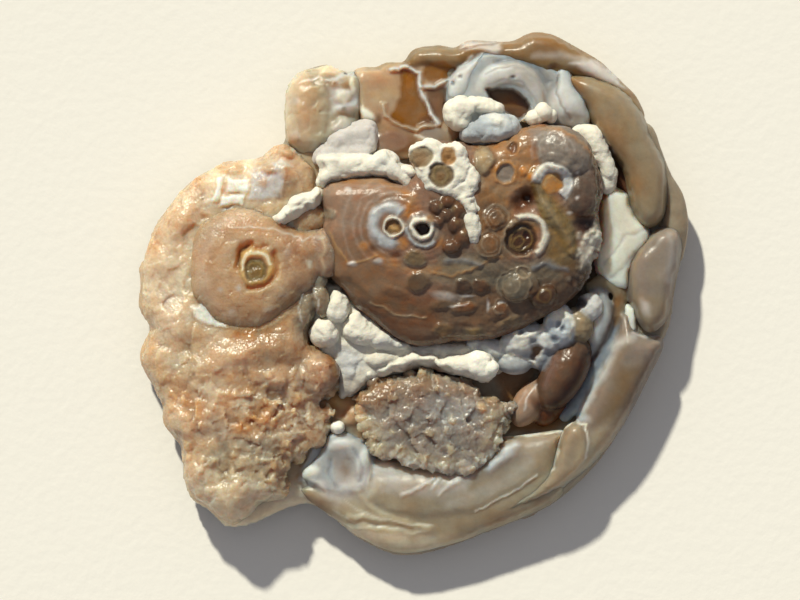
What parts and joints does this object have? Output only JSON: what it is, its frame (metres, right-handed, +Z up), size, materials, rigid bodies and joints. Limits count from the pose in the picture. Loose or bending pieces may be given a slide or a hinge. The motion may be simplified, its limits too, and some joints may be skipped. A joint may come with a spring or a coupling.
{
  "type": "chalcedony specimen",
  "caption": "Palm-sized chalcedony mineral specimen: agate lobes round a raised rosette of stalactite ends, a smooth eyed flower, white crust and drusy quartz, resting on its flat back.",
  "frame": {"origin": "centre of the bounding box at the level of the worn flats that the stone rests on", "axes": "+Z up out of the grown face, +X along the longest side in plan, +Y towards the back edge with the corner block"},
  "size_m": [0.0614, 0.0588, 0.0124],
  "materials": {
    "stone": "waxy polished growth skin, translucent peach to grey-brown, with matte white crust and glittering quartz patches"
  },
  "bodies": {
    "root": {"chalcedony": "stone"}
  },
  "joints": []
}
